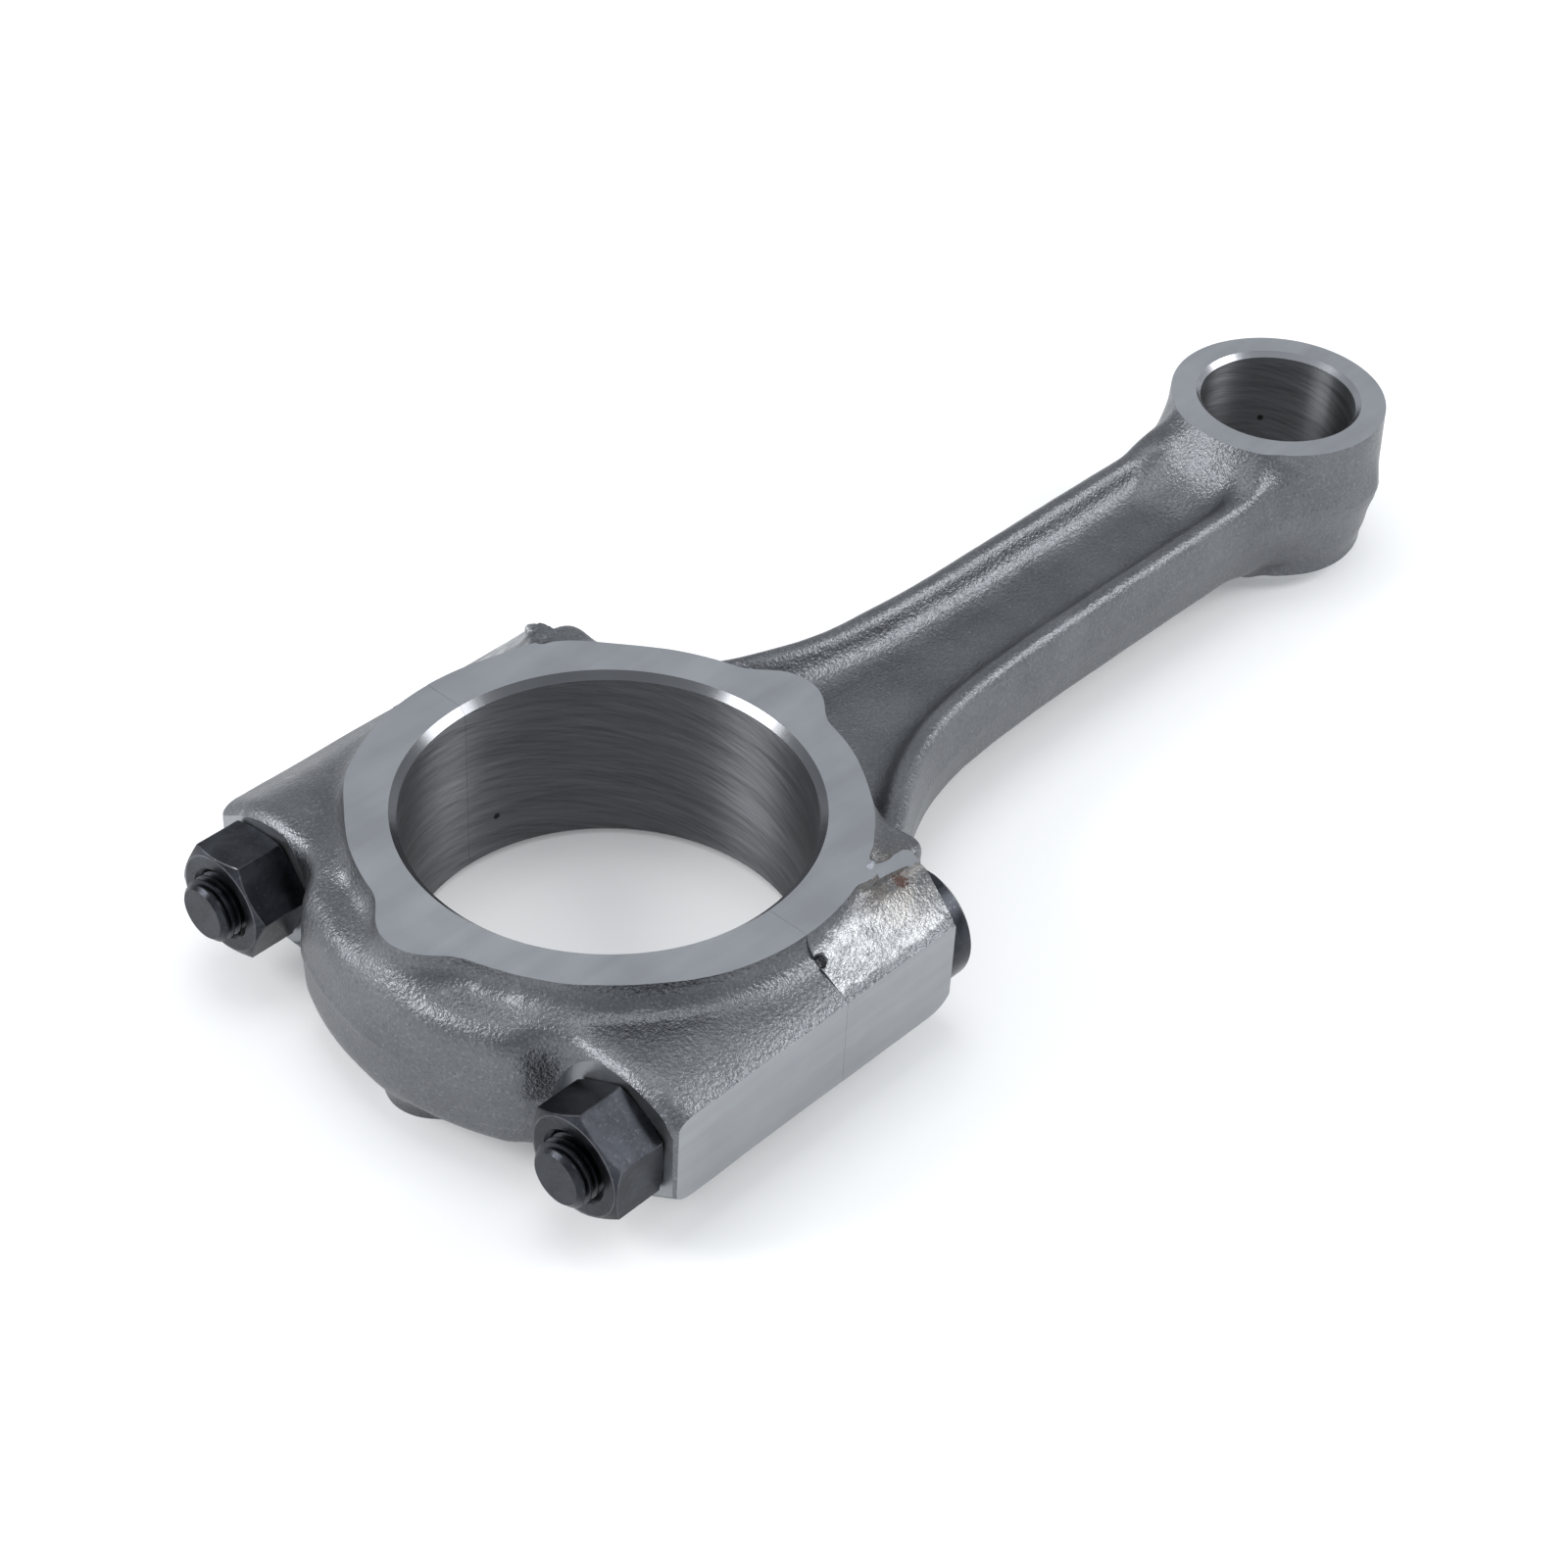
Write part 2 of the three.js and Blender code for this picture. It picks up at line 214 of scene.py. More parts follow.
def lattice_noise(points, size, seed):
    """Smooth noise between -1 and 1 from a lattice of random values, one every size millimetres."""
    cells = 32
    values = np.random.default_rng(seed).uniform(-1, 1, (cells, cells, cells))
    spot = points / size
    base = np.floor(spot).astype(int)
    part = spot - base
    part = part * part * (3 - 2 * part)
    total = np.zeros(len(points))
    for corner in np.ndindex(2, 2, 2):
        at = (base + corner) % cells
        weight = np.prod(np.where(corner, part, 1 - part), axis=1)
        total += weight * values[at[:, 0], at[:, 1], at[:, 2]]
    return total


def blank_gradient(shape, points):
    step = 0.02
    grads = []
    for axis in range(3):
        shift = np.zeros(3)
        shift[axis] = step
        grads.append(shape(*(points + shift).T) - shape(*(points - shift).T))
    return np.stack(grads, axis=1) / (2 * step)


def forging(name, shape, low, high, seed):
    """The mesh of one rough forging: the level set's surface, moved exactly onto it, then made uneven."""
    low, high = np.array(low, float), np.array(high, float)
    counts = np.ceil((high - low) / VOXEL).astype(int) + 1
    axes = [low[k] + VOXEL * np.arange(counts[k]) for k in range(3)]
    field = shape(*np.meshgrid(*axes, indexing="ij")).astype(np.float32)
    grid = openvdb.FloatGrid(background=3 * VOXEL)
    grid.copyFromArray(np.clip(field, -3 * VOXEL, 3 * VOXEL))
    points, triangles, quads = grid.convertToPolygons(isovalue=0.0, adaptivity=0.0)
    points = low + points.astype(float) * VOXEL
    for _ in range(3):
        slope = blank_gradient(shape, points)
        square = np.maximum((slope ** 2).sum(axis=1), 0.2)
        points -= (shape(*points.T) / square)[:, None] * slope
    normal = blank_gradient(shape, points)
    normal /= np.linalg.norm(normal, axis=1)[:, None]
    uneven = np.zeros(len(points))
    for layer, (height, size) in enumerate(UNEVENNESS):
        uneven += height * lattice_noise(points, size, seed + layer)
    points += normal * uneven[:, None]
    faces = [tuple(face) for kind in (quads, triangles) for face in kind[:, ::-1].tolist()]
    return mesh_object(name, points, faces)


# ---- meshes and cuts ------------------------------------------------------------------------------------

def mesh_object(name, points, faces, material=None):
    """An object from points in millimetres about the big-end centre."""
    mesh = bpy.data.meshes.new(name)
    placed = np.asarray(points, float) * MM + np.array(ORIGIN)
    mesh.from_pydata(placed.tolist(), [], faces)
    mesh.validate()
    if material:
        mesh.materials.append(material)
    piece = bpy.data.objects.new(name, mesh)
    bpy.context.scene.collection.objects.link(piece)
    return piece


def outward(piece):
    """Turn all faces of a closed mesh to look out."""
    work = bmesh.new()
    work.from_mesh(piece.data)
    bmesh.ops.remove_doubles(work, verts=work.verts, dist=1e-8)
    bmesh.ops.recalc_face_normals(work, faces=work.faces)
    if work.calc_volume(signed=True) < 0:
        bmesh.ops.reverse_faces(work, faces=work.faces)
    work.to_mesh(piece.data)
    work.free()
    return piece


def box(low, high, material=None):
    corners = [(x, y, z) for x in (low[0], high[0])
               for y in (low[1], high[1]) for z in (low[2], high[2])]
    faces = [(0, 1, 3, 2), (4, 6, 7, 5), (0, 4, 5, 1), (2, 3, 7, 6), (0, 2, 6, 4), (1, 5, 7, 3)]
    return outward(mesh_object("box", corners, faces, material))


def turned(profile, centre, axis, segments, material=None):
    """A solid turned about a line along axis through centre; profile is (radius, place) points."""
    points, faces = [], []
    for radius, place in profile:
        for k in range(segments):
            angle = 2 * math.pi * k / segments
            across = (radius * math.cos(angle), radius * math.sin(angle))
            spot = (place, *across) if axis == "x" else (*across, place)
            points.append([centre[i] + spot[i] for i in range(3)])
    for row in range(len(profile) - 1):
        for k in range(segments):
            here, there = row * segments + k, row * segments + (k + 1) % segments
            faces.append((here, there, there + segments, here + segments))
    faces.append(tuple(range(segments)))
    faces.append(tuple(range(len(points) - segments, len(points))))
    return outward(mesh_object("turned", points, faces, material))


def combine(piece, tool, operation):
    """Boolean of piece with tool, which is used up. New faces keep the tool's material."""
    modifier = piece.modifiers.new("cut", "BOOLEAN")
    modifier.operation = operation
    modifier.object = tool
    modifier.solver = "MANIFOLD"
    modifier.material_mode = "TRANSFER"
    evaluated = piece.evaluated_get(bpy.context.evaluated_depsgraph_get())
    result = bpy.data.meshes.new_from_object(evaluated)
    piece.modifiers.clear()
    if len(result.polygons) == 0:
        raise RuntimeError(f"{operation} emptied {piece.name}")
    old = piece.data
    piece.data = result
    bpy.data.meshes.remove(old)
    bpy.data.objects.remove(tool)
    return piece


def cut(piece, *tools):
    for tool in tools:
        combine(piece, tool, "DIFFERENCE")
    return piece


def finish_shading(piece, angle):
    """Smooth shading, creased where a cut meets the forged skin and at every real edge."""
    mesh = piece.data
    mesh.polygons.foreach_set("use_smooth", np.ones(len(mesh.polygons), bool))
    mesh.set_sharp_from_angle(angle=math.radians(angle))
    work = bmesh.new()
    work.from_mesh(mesh)
    for edge in work.edges:
        faces = edge.link_faces
        if len(faces) == 2 and faces[0].material_index != faces[1].material_index:
            edge.smooth = False
    work.to_mesh(mesh)
    work.free()


def bore_tool(radius, chamfer, half_width, x, segments, material):
    past = 1.0
    mouth = [(radius + chamfer + past, half_width + past), (radius, half_width - chamfer)]
    profile = mouth + [(r, -z) for r, z in reversed(mouth)]
    return turned(profile, (x, 0, 0), "z", segments, material)


def through_bore(radius, x, segments, material):
    """A hair wider than the chamfering tool's land, so that the whole wall gets the honed finish."""
    wall = radius + 0.002
    return turned([(wall, -FAR), (wall, FAR)], (x, 0, 0), "z", segments, material)


# ---- materials ------------------------------------------------------------------------------------------

def nodes_of(name, base, metallic, roughness):
    """A new material with its node tree and its shader."""
    material = bpy.data.materials.new(name)
    material.use_nodes = True
    tree = material.node_tree
    shader = tree.nodes["Principled BSDF"]
    shader.inputs["Base Color"].default_value = (*base, 1)
    shader.inputs["Metallic"].default_value = metallic
    shader.inputs["Roughness"].default_value = roughness
    return material, tree, shader


def coordinates(tree, scale):
    """Object coordinates in metres times scale, so a scale of 1000 counts millimetres."""
    source = tree.nodes.new("ShaderNodeTexCoord")
    mapping = tree.nodes.new("ShaderNodeMapping")
    mapping.inputs["Scale"].default_value = scale
    tree.links.new(source.outputs["Object"], mapping.inputs["Vector"])
    return mapping.outputs["Vector"]


def noise(tree, scale, detail=2.0, roughness=0.5, distortion=0.0):
    node = tree.nodes.new("ShaderNodeTexNoise")
    node.inputs["Scale"].default_value = 1.0
    node.inputs["Detail"].default_value = detail
    node.inputs["Roughness"].default_value = roughness
    node.inputs["Distortion"].default_value = distortion
    tree.links.new(coordinates(tree, scale), node.inputs["Vector"])
    return node.outputs["Fac"]


def ramp(tree, value, low, high, from_low, from_high):
    """Maps value from its own range to low..high, clamped."""
    node = tree.nodes.new("ShaderNodeMapRange")
    node.inputs["From Min"].default_value = from_low
    node.inputs["From Max"].default_value = from_high
    node.inputs["To Min"].default_value = low
    node.inputs["To Max"].default_value = high
    tree.links.new(value, node.inputs["Value"])
    return node.outputs["Result"]


def maths(tree, operation, a, b):
    node = tree.nodes.new("ShaderNodeMath")
    node.operation = operation
    for socket, value in zip(node.inputs, (a, b)):
        if isinstance(value, (int, float)):
            socket.default_value = value
        else:
            tree.links.new(value, socket)
    return node.outputs["Value"]


def blend_colours(tree, factor, first, second):
    """Mixes two colours, given as triples or as sockets."""
    node = tree.nodes.new("ShaderNodeMix")
    node.data_type = "RGBA"
    tree.links.new(factor, node.inputs["Factor"])
    for socket, value in ((node.inputs["A"], first), (node.inputs["B"], second)):
        if isinstance(value, tuple):
            socket.default_value = (*value, 1)
        else:
            tree.links.new(value, socket)
    return node.outputs["Result"]


def bump(tree, shader, layers):
    """Chains bump layers of (height, strength, depth in millimetres) into the shader's normal."""
    normal = None
    for height, strength, depth in layers:
        node = tree.nodes.new("ShaderNodeBump")
        node.inputs["Strength"].default_value = strength
        node.inputs["Distance"].default_value = depth * MM
        tree.links.new(height, node.inputs["Height"])
        if normal:
            tree.links.new(normal, node.inputs["Normal"])
        normal = node.outputs["Normal"]
    tree.links.new(normal, shader.inputs["Normal"])


def near(tree, centre, radius):
    """1 at a place given in millimetres about the big-end centre, falling to 0 at radius."""
    source = tree.nodes.new("ShaderNodeTexCoord")
    node = tree.nodes.new("ShaderNodeVectorMath")
    node.operation = "DISTANCE"
    tree.links.new(source.outputs["Object"], node.inputs[0])
    node.inputs[1].default_value = [ORIGIN[k] + centre[k] * MM for k in range(3)]
    return ramp(tree, node.outputs["Value"], 1.0, 0.0, 0.0, radius * MM)


STAIN_PLACE, STAIN_RADIUS = (14.5, -31.2, 11.4), 7.5
RUST_PLACE, RUST_RADIUS = (15.2, -31.4, 11.5), 1.6


def forged_steel():
    """Shot-blasted skin: even blue-grey with a fine grain that glitters where it catches a light."""
    material, tree, shader = nodes_of("forged_steel", (0.14, 0.145, 0.155), 1.0, 0.42)
    cloud = noise(tree, (95, 95, 95), 4, 0.6)
    patch = noise(tree, (520, 520, 520), 4, 0.68)
    grain = noise(tree, (2600, 2600, 2600), 2, 0.6)
    tone = ramp(tree, cloud, 0, 1, 0.32, 0.68)
    colour = blend_colours(tree, tone, (0.124, 0.129, 0.138), (0.168, 0.174, 0.185))
    glints = ramp(tree, grain, 0, 0.5, 0.56, 0.74)
    colour = blend_colours(tree, glints, colour, (0.3, 0.31, 0.325))
    pits = ramp(tree, grain, 0, 0.5, 0.44, 0.28)
    colour = blend_colours(tree, pits, colour, (0.075, 0.078, 0.084))
    # painted highlight: the rod's boss shoulders are painted lighter, in flakes
    worn = painted_shoulder_highlight(tree, patch)
    colour = blend_colours(tree, worn, colour, (0.34, 0.35, 0.362))
    stained = near(tree, STAIN_PLACE, STAIN_RADIUS)
    on_boss = maths(tree, "MULTIPLY", stained, ramp(tree, patch, 0.15, 0.8, 0.35, 0.62))
    colour = blend_colours(tree, on_boss, colour, (0.19, 0.165, 0.140))
    rusted = near(tree, RUST_PLACE, RUST_RADIUS)
    spot = maths(tree, "ADD", rusted, ramp(tree, grain, -0.25, 0.25, 0.35, 0.65))
    rust = ramp(tree, spot, 0, 1, 0.45, 0.6)
    colour = blend_colours(tree, rust, colour, (0.06, 0.024, 0.017))
    tree.links.new(colour, shader.inputs["Base Color"])
    tree.links.new(ramp(tree, rust, 1.0, 0.1, 0.0, 1.0), shader.inputs["Metallic"])
    tree.links.new(ramp(tree, cloud, 0.32, 0.42, 0.3, 0.7), shader.inputs["Roughness"])
    bump(tree, shader, [
        (noise(tree, (330, 330, 330), 3, 0.55), 0.3, 0.10),
        (noise(tree, (1500, 1500, 1500), 3, 0.6), 0.85, 0.11),
        (grain, 1.0, 0.11),
    ])
    return material


def painted_shoulder_highlight(tree, patch):
    """Painted highlight on the sloping shoulders of the rod's bolt bosses, broken into flakes."""
    source = tree.nodes.new("ShaderNodeTexCoord")
    split = tree.nodes.new("ShaderNodeSeparateXYZ")
    tree.links.new(source.outputs["Object"], split.inputs["Vector"])
    side = maths(tree, "ABSOLUTE", split.outputs["Y"], 0)
    inner = ramp(tree, side, 0, 1, 30.6 * MM, 33.2 * MM)
    outer = ramp(tree, side, 1, 0.1, 36.2 * MM, 37.0 * MM)
    joint = ORIGIN.x
    from_joint = ramp(tree, split.outputs["X"], 0.16, 1, joint - 0.2 * MM, joint + 0.4 * MM)
    to_seat = ramp(tree, split.outputs["X"], 1, 0, joint + 17.5 * MM, joint + 20 * MM)
    across = maths(tree, "MULTIPLY", inner, outer)
    lengthwise = maths(tree, "MULTIPLY", from_joint, to_seat)
    place = maths(tree, "MULTIPLY", across, lengthwise)
    uneven = maths(tree, "MULTIPLY", maths(tree, "SUBTRACT", patch, 0.5), 1.6)
    broken = maths(tree, "ADD", place, uneven)
    flakes = ramp(tree, patch, 0.35, 1, 0.40, 0.56)
    return maths(tree, "MULTIPLY", ramp(tree, broken, 0, 1, 0.3, 0.75), flakes)


def machined_steel(name, base, roughness, streaks, lines, line_depth):
    """A milled or ground face: fine parallel lines along the directions in which streaks is small."""
    material, tree, shader = nodes_of(name, base, 1.0, roughness)
    cloud = noise(tree, (75, 75, 75), 3, 0.55)
    fine = noise(tree, streaks, 3, 0.7)
    broad = noise(tree, tuple(s * 0.25 for s in streaks), 2, 0.6)
    darker, lighter = tuple(c * 0.9 for c in base), tuple(c * 1.09 for c in base)
    mix = maths(tree, "ADD", maths(tree, "MULTIPLY", cloud, 0.6), maths(tree, "MULTIPLY", broad, 0.4))
    colour = blend_colours(tree, ramp(tree, mix, 0, 1, 0.36, 0.64), darker, lighter)
    tree.links.new(colour, shader.inputs["Base Color"])
    tree.links.new(ramp(tree, mix, roughness - 0.04, roughness + 0.05, 0.3, 0.7), shader.inputs["Roughness"])
    bump(tree, shader, [(fine, lines, line_depth), (cloud, 0.3, 0.1)])
    return material


def scratches(tree, place, lean, along, across):
    """Streaks that wind round a bore at an angle: noise drawn out along the unrolled wall."""
    around, height = place
    cosine, sine = math.cos(lean), math.sin(lean)
    sweep = maths(tree, "MULTIPLY", around, cosine)
    run = maths(tree, "ADD", sweep, maths(tree, "MULTIPLY", height, sine))
    climb = maths(tree, "MULTIPLY", height, cosine)
    rise = maths(tree, "SUBTRACT", climb, maths(tree, "MULTIPLY", around, sine))
    joined = tree.nodes.new("ShaderNodeCombineXYZ")
    tree.links.new(maths(tree, "MULTIPLY", run, along), joined.inputs["X"])
    tree.links.new(maths(tree, "MULTIPLY", rise, across), joined.inputs["Y"])
    joined.inputs["Z"].default_value = lean * 10
    node = tree.nodes.new("ShaderNodeTexNoise")
    node.inputs["Scale"].default_value = 1.0
    node.inputs["Detail"].default_value = 3.0
    node.inputs["Roughness"].default_value = 0.65
    tree.links.new(joined.outputs["Vector"], node.inputs["Vector"])
    return node.outputs["Fac"]


def honed_steel(name, centre_x, radius, base, roughness, pit):
    """A honed bore: crossed scratches that wind round the wall both ways, over slow changes of tone."""
    material, tree, shader = nodes_of(name, base, 1.0, roughness)
    source = tree.nodes.new("ShaderNodeTexCoord")
    split = tree.nodes.new("ShaderNodeSeparateXYZ")
    tree.links.new(source.outputs["Object"], split.inputs["Vector"])
    from_axis = maths(tree, "SUBTRACT", split.outputs["X"], ORIGIN.x + centre_x * MM)
    angle = maths(tree, "ARCTAN2", split.outputs["Y"], from_axis)
    place = (maths(tree, "MULTIPLY", angle, radius), maths(tree, "MULTIPLY", split.outputs["Z"], 1 / MM))
    one_way = scratches(tree, place, math.radians(14), 0.10, 3.2)
    other_way = scratches(tree, place, math.radians(-17), 0.12, 3.6)
    long_marks = scratches(tree, place, math.radians(3), 0.05, 1.1)
    mix = maths(tree, "ADD", maths(tree, "MULTIPLY", one_way, 0.5), maths(tree, "MULTIPLY", long_marks, 0.5))
    darker, lighter = tuple(c * 0.72 for c in base), tuple(c * 1.35 for c in base)
    colour = blend_colours(tree, ramp(tree, mix, 0, 1, 0.36, 0.64), darker, lighter)
    pitted = ramp(tree, near(tree, pit, 0.8), 0, 0.9, 0.3, 0.6)
    colour = blend_colours(tree, pitted, colour, (0.01, 0.01, 0.01))
    tree.links.new(colour, shader.inputs["Base Color"])
    tree.links.new(ramp(tree, mix, roughness - 0.04, roughness + 0.07, 0.3, 0.7), shader.inputs["Roughness"])
    shader.inputs["Anisotropic"].default_value = 0.92
    shader.inputs["Anisotropic Rotation"].default_value = 0.25
    tangent = tree.nodes.new("ShaderNodeTangent")
    tangent.direction_type = "RADIAL"
    tangent.axis = "Z"
    tree.links.new(tangent.outputs["Tangent"], shader.inputs["Tangent"])
    bump(tree, shader, [(one_way, 0.35, 0.03), (other_way, 0.3, 0.03), (long_marks, 0.3, 0.05)])
    return material


def black_oxide(name, base, roughness):
    """Blackened fastener steel, smudged with oil."""
    material, tree, shader = nodes_of(name, base, 1.0, roughness)
    smudge = noise(tree, (210, 210, 210), 4, 0.62, 0.6)
    speck = noise(tree, (2300, 2300, 2300), 2, 0.6)
    light = tuple(c * 2.1 for c in base)
    colour = blend_colours(tree, ramp(tree, smudge, 0, 1, 0.42, 0.72), base, light)
    colour = blend_colours(tree, ramp(tree, speck, 0, 0.5, 0.6, 0.8), colour, tuple(c * 4 for c in base))
    tree.links.new(colour, shader.inputs["Base Color"])
    gloss = ramp(tree, smudge, roughness - 0.07, roughness + 0.1, 0.3, 0.7)
    tree.links.new(gloss, shader.inputs["Roughness"])
    bump(tree, shader, [
        (noise(tree, (600, 600, 600), 3, 0.6), 0.35, 0.05),
        (speck, 0.3, 0.02),
    ])
    return material


BIG_PIT, SMALL_PIT = (4.4, 24.1, -6.3), (137.9, 7.3, -0.5)   # one small pit in each bore

FORGED = forged_steel()
GROUND = machined_steel("ground_face", (0.37, 0.386, 0.41), 0.36, (130, 1300, 1300), 0.16, 0.02)
MILLED = machined_steel("milled_face", (0.325, 0.338, 0.355), 0.4, (120, 2200, 2200), 0.12, 0.02)
# painted shade: the bore walls' base colour is darkened to stand in for the dark surroundings a bore
# reflects
HONED = honed_steel("honed_bore", 0, BIG_BORE, (0.145, 0.15, 0.158), 0.5, BIG_PIT)
HONED_SMALL = honed_steel(
    "honed_small_bore", SMALL_X, SMALL_BORE, (0.15, 0.155, 0.163), 0.5, SMALL_PIT)
DRILLED = machined_steel("drilled_hole", (0.2, 0.205, 0.215), 0.4, (1800, 300, 300), 0.4, 0.03)
# painted shade and painted light: the big bore's chamfer is darkened like the bore walls, the small bore's
# chamfer is a lighter copy of the same finish
CHAMFERED = machined_steel("turned_chamfer", (0.17, 0.175, 0.185), 0.2, (90, 90, 2600), 0.15, 0.01)
SMALL_CHAMFERED_PAINTED_LIGHTER = machined_steel(
    "turned_chamfer_small_painted_lighter", (0.34, 0.35, 0.37), 0.24, (90, 90, 2600), 0.15, 0.01)
BLACK = black_oxide("black_oxide", (0.027, 0.029, 0.034), 0.31)
WORN = black_oxide("black_oxide_worn_edge", (0.065, 0.068, 0.075), 0.34)


# ---- rod and cap ----------------------------------------------------------------------------------------

SIDES = {"left": 1, "right": -1}


def y_range(side, inner, outer):
    return (inner, outer) if side > 0 else (-outer, -inner)


def big_end_cuts():
    """The cuts that the rod and the cap share, made after the two are bolted together."""
    width = BIG_HALF_WIDTH
    return [
        box((-60, -FAR, width), (60, FAR, FAR), GROUND),
        box((-60, -FAR, -FAR), (60, FAR, -width), GROUND),
        box((-60, SIDE_Y, -60), (60, FAR, 60), MILLED),
        box((-60, -FAR, -60), (60, -SIDE_Y, 60), MILLED),
        bore_tool(BIG_BORE, BIG_CHAMFER, width, 0, 256, CHAMFERED),
        through_bore(BIG_BORE, 0, 256, HONED),
    ] + [bolt_drill(side, -60, 60, BOLT_HOLE, DRILLED) for side in SIDES.values()]


def bolt_drill(side, from_x, to_x, radius, material, segments=64):
    return turned([(radius, from_x), (radius, to_x)], (0, side * BOLT_Y, 0), "x", segments, material)


def build_rod():
    rod = forging("rod", rod_blank, (-2.5, -39.5, -14), (146.8, 39.5, 14), 11)
    outward(rod)
    rod.data.materials.append(FORGED)
    cut(rod, box((-FAR, -FAR, -FAR), (HALF_GAP, FAR, FAR), GROUND), *big_end_cuts())
    rim = SMALL_HALF_WIDTH
    cut(rod,
        box((100, -60, rim), (FAR, 60, FAR), GROUND),
        box((100, -60, -FAR), (FAR, 60, -rim), GROUND),
        bore_tool(SMALL_BORE, SMALL_CHAMFER, rim, SMALL_X, 160, SMALL_CHAMFERED_PAINTED_LIGHTER),
        through_bore(SMALL_BORE, SMALL_X, 160, HONED_SMALL))
    ground_strip = box((13.2, -LIP_Y, 12.2), (23, -27.9, 14), GROUND)
    cut(rod, ground_strip)
    for side in SIDES.values():
        for inner, half_height in ((STOP_Y, SEAT_HALF_HEIGHT), (LIP_Y, FAR)):
            low_y, high_y = y_range(side, inner, FAR)
            low, high = (SEAT_X, low_y, -half_height), (SEAT_X + SEAT_DEPTH, high_y, half_height)
            cut(rod, box(low, high, MILLED))
    finish_shading(rod, FORGED_CREASE)
    return rod


def build_cap():
    cap = forging("cap", cap_blank, (-39, -39.5, -14), (2.5, 39.5, 14), 23)
    outward(cap)
    cap.data.materials.append(FORGED)
    cut(cap, box((-HALF_GAP, -FAR, -FAR), (FAR, FAR, FAR), GROUND), *big_end_cuts())
    cut(cap, *[bolt_drill(side, -60, SPOT_X, SPOT_RADIUS, MILLED, 96) for side in SIDES.values()])
    finish_shading(cap, FORGED_CREASE)
    return cap


for piece, node, body in ((build_rod(), "rod_forging", "rod"), (build_cap(), "bearing_cap", "cap")):
    piece.name = node + "_finished"
    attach(piece, body)
    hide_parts(node)


# ---- bolts and nuts -------------------------------------------------------------------------------------

PITCH = 1.0                        # the thread is M8 x 1
THREAD_CREST, THREAD_ROOT = 3.98, 3.40
THREAD_SEGMENTS = 72
NUT_CLEARANCE = 0.06
THREAD_END_X = -13.0
SHANK_RADIUS = 4.2
HEAD_RADIUS = 7.7
HEAD_TOP, HEAD_INNER = 7.1, 5.6    # flats on the head: above and below, and towards the stop
NUT_ACROSS, NUT_HEIGHT = 13.0, 7.2
NUT_TURN = {"left": math.radians(54), "right": math.radians(32.3)}


def threaded_rod(side, from_x, to_x, crest, root, segments, material):
    """A right-handed screw along X: the profile's rows follow the helix, so each turn joins the next."""
    profile = [(0.0, root), (0.18, root), (0.44, crest), (0.58, crest), (0.84, root)]
    rows = len(profile)
    turns = math.ceil((to_x - from_x) / PITCH)
    points = []
    for j in range(turns * rows + 1):
        place, radius = profile[j % rows]
        start = from_x + PITCH * (j // rows + place)
        for k in range(segments):
            angle = 2 * math.pi * k / segments
            across = side * BOLT_Y + radius * math.cos(angle)
            points.append((start + PITCH * k / segments, across, radius * math.sin(angle)))

    def at(k, j):
        return (j + rows) * segments if k == segments else j * segments + k

    faces = []
    for j in range(turns * rows):
        for k in range(segments):
            if k == segments - 1 and j + 1 + rows > turns * rows:
                continue
            faces.append((at(k, j), at(k + 1, j), at(k + 1, j + 1), at(k, j + 1)))
    piece = mesh_object("thread", points, faces, material)
    return outward(close_ends(piece))


def close_ends(piece):
    """Fill the two open ends of a screw."""
    work = bmesh.new()
    work.from_mesh(piece.data)
    loose = [vert for vert in work.verts if not vert.link_faces]
    bmesh.ops.delete(work, geom=loose, context="VERTS")
    open_edges = [edge for edge in work.edges if edge.is_boundary]
    bmesh.ops.holes_fill(work, edges=open_edges, sides=0)
    bmesh.ops.triangulate(work, faces=[face for face in work.faces if len(face.verts) > 4])
    work.to_mesh(piece.data)
    work.free()
    return piece


def thread_tool(side, crest, root):
    """A thread a little longer than the bolt's threaded end."""
    return threaded_rod(side, POINT_X - 1.5, THREAD_END_X + 1.5, crest, root, THREAD_SEGMENTS, BLACK)


def bevel_edges(piece, width, edge_material):
    """A narrow flat on every real edge, in the worn finish."""
    piece.data.materials.append(edge_material)
    modifier = piece.modifiers.new("bevel", "BEVEL")
    modifier.width = width * MM
    modifier.segments = 1
    modifier.limit_method = "ANGLE"
    modifier.angle_limit = math.radians(22)
    modifier.material = len(piece.data.materials) - 1
    evaluated = piece.evaluated_get(bpy.context.evaluated_depsgraph_get())
    result = bpy.data.meshes.new_from_object(evaluated)
    piece.modifiers.clear()
    piece.data = result
    return piece


def build_bolt(side):
    axis = (0, side * BOLT_Y, 0)
    seat, top = SEAT_X + 0.02, HEAD_TOP_X
    outline = [(HEAD_RADIUS, seat), (HEAD_RADIUS, top - 0.55), (HEAD_RADIUS - 0.55, top)]
    head = turned(outline, axis, "x", 96, BLACK)
    low_y, high_y = y_range(side, BOLT_Y - HEAD_INNER, FAR)
    combine(head, box((0, low_y, -HEAD_TOP), (60, high_y, HEAD_TOP), BLACK), "INTERSECT")
    bevel_edges(head, 0.14, WORN)
    outer = THREAD_CREST + 0.1
    point = [(THREAD_CREST - 0.75, POINT_X), (outer, POINT_X + 0.8), (outer, THREAD_END_X)]
    thread = thread_tool(side, THREAD_CREST, THREAD_ROOT)
    combine(thread, turned(point, axis, "x", THREAD_SEGMENTS, BLACK), "INTERSECT")
    run_out, shank_start = THREAD_END_X - 0.4, THREAD_END_X + 0.4
    outline = [(SHANK_RADIUS - 0.7, run_out), (SHANK_RADIUS, shank_start), (SHANK_RADIUS, seat + 1)]
    shank = turned(outline, axis, "x", 96, BLACK)
    combine(shank, thread, "UNION")
    combine(shank, head, "UNION")
    finish_shading(shank, TURNED_CREASE)
    return shank


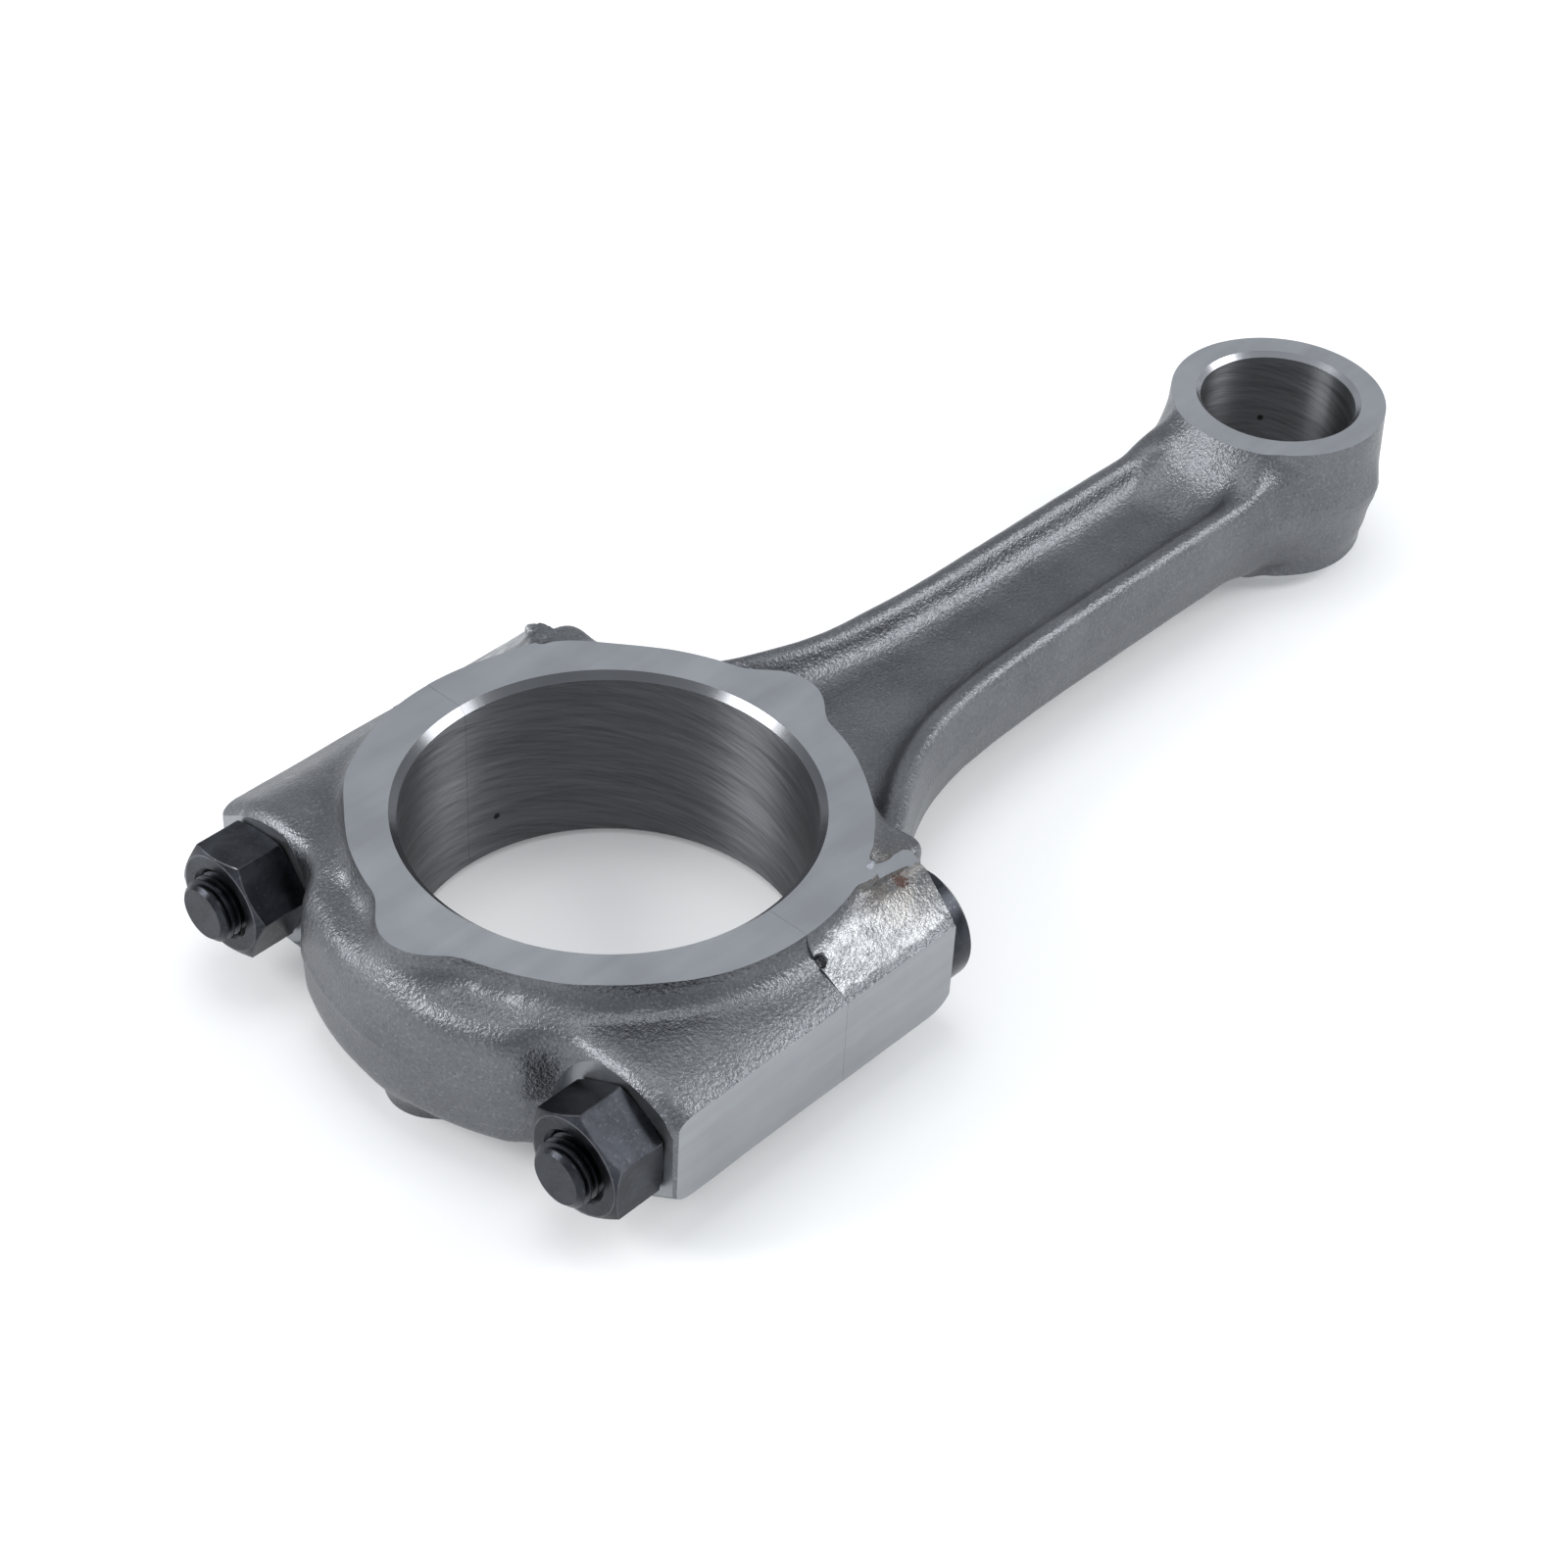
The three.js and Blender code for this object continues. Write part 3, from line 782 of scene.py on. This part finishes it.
def build_nut(side, turn):
    back = SPOT_X - 0.03
    front = back - NUT_HEIGHT
    corner = NUT_ACROSS / math.sqrt(3)
    angles = [turn + k * math.pi / 3 for k in range(6)]
    ring = [(side * BOLT_Y + corner * math.cos(angle), corner * math.sin(angle)) for angle in angles]
    points = [(x, y, z) for x in (front, back) for y, z in ring]
    faces = [(k, (k + 1) % 6, 6 + (k + 1) % 6, 6 + k) for k in range(6)]
    faces += [tuple(range(6)), tuple(range(6, 12))]
    nut = outward(mesh_object("nut", points, faces, BLACK))
    envelope = [(6.25, front), (corner + 0.25, front + 0.78), (corner + 0.25, back - 0.5), (6.4, back)]
    axis = (0, side * BOLT_Y, 0)
    combine(nut, turned(envelope, axis, "x", 120, BLACK), "INTERSECT")
    bevel_edges(nut, 0.13, WORN)
    cut(nut,
        thread_tool(side, THREAD_CREST + NUT_CLEARANCE, THREAD_ROOT + NUT_CLEARANCE),
        turned([(5.15, front - 0.5), (3.0, front + 1.65)], axis, "x", 96, BLACK),
        turned([(5.15, back + 0.5), (3.0, back - 1.65)], axis, "x", 96, BLACK))
    finish_shading(nut, TURNED_CREASE)
    return nut


for place, side in SIDES.items():
    for piece, node, body in (
        (build_bolt(side), f"cap_bolt_{place}", "rod"),
        (build_nut(side, NUT_TURN[place]), f"cap_nut_{place}", f"nut_{place}"),
    ):
        piece.name = node + "_finished"
        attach(piece, body)
        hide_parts(node)


# ---- studio ---------------------------------------------------------------------------------------------

def floor_and_backdrop():
    """A pale floor that curves up far behind the object."""
    rows, columns = 48, 2
    points, faces = [], []
    size, bend = 3.0, 1.2
    for i in range(rows + 1):
        t = i / rows
        angle = math.pi / 2 * t
        far, high = size * 0.6 + bend * math.sin(angle), bend * (1 - math.cos(angle))
        points += [(s * size, far, high) for s in (-1, 1)]
    points = [(s * size, -size, 0.0) for s in (-1, 1)] + points
    points += [(s * size, size * 0.6 + bend, 3 * bend) for s in (-1, 1)]
    for i in range(len(points) // columns - 1):
        a = i * columns
        faces.append((a, a + 1, a + 3, a + 2))
    mesh = bpy.data.meshes.new("floor")
    mesh.from_pydata(points, [], faces)
    mesh.polygons.foreach_set("use_smooth", np.ones(len(mesh.polygons), bool))
    floor = bpy.data.objects.new("floor", mesh)
    bpy.context.scene.collection.objects.link(floor)
    material, tree, shader = nodes_of("pale_floor", (0.84, 0.845, 0.85), 0.0, 0.85)
    shader.inputs["Emission Color"].default_value = (0.97, 0.985, 1.0, 1)
    shader.inputs["Emission Strength"].default_value = 0.17
    mesh.materials.append(material)
    floor.rotation_euler = (0, 0, math.radians(-48))


def area_light(name, place, size, power, colour=(1, 1, 1)):
    data = bpy.data.lights.new(name, "AREA")
    data.shape = "RECTANGLE"
    data.size, data.size_y = size
    data.energy = power
    data.color = colour
    lamp = bpy.data.objects.new(name, data)
    lamp.location = place
    lamp.rotation_euler = (Vector((0, 0, 0)) - Vector(place)).to_track_quat("-Z", "Y").to_euler()
    bpy.context.scene.collection.objects.link(lamp)


def camera():
    """The photograph's viewpoint: 40 degrees down on the nut side, a long lens, slightly rolled."""
    place = Vector((-0.25820, -0.20461, 0.26994))
    target = Vector((-0.02569, -0.00147, 0.01270))
    roll = 0.0527
    ahead = (target - place).normalized()
    right = ahead.cross(Vector((0, 0, 1))).normalized()
    up = right.cross(ahead)
    across = right * math.cos(roll) + up * math.sin(roll)
    above = up * math.cos(roll) - right * math.sin(roll)
    data = bpy.data.cameras.new("camera")
    data.lens = 75.38
    data.sensor_width = 36
    data.clip_start = 0.01
    eye = bpy.data.objects.new("camera", data)
    eye.matrix_world = Matrix.Translation(place) @ Matrix((across, above, -ahead)).transposed().to_4x4()
    bpy.context.scene.collection.objects.link(eye)
    bpy.context.scene.camera = eye


floor_and_backdrop()
area_light("right_softbox", (0.575, -0.535, 0.570), (0.38, 0.52), 4.3)
area_light("left_softbox", (-0.66, 0.46, 0.5), (0.38, 0.38), 4.8)
area_light("overhead", (0.0, 0.1, 1.0), (0.5, 0.5), 2.0)
camera()

scene = bpy.context.scene
scene.view_settings.view_transform = "Standard"
world = bpy.data.worlds.new("world")
world.use_nodes = True
world.node_tree.nodes["Background"].inputs["Color"].default_value = (0.93, 0.96, 1.0, 1)
world.node_tree.nodes["Background"].inputs["Strength"].default_value = 0.64
scene.world = world
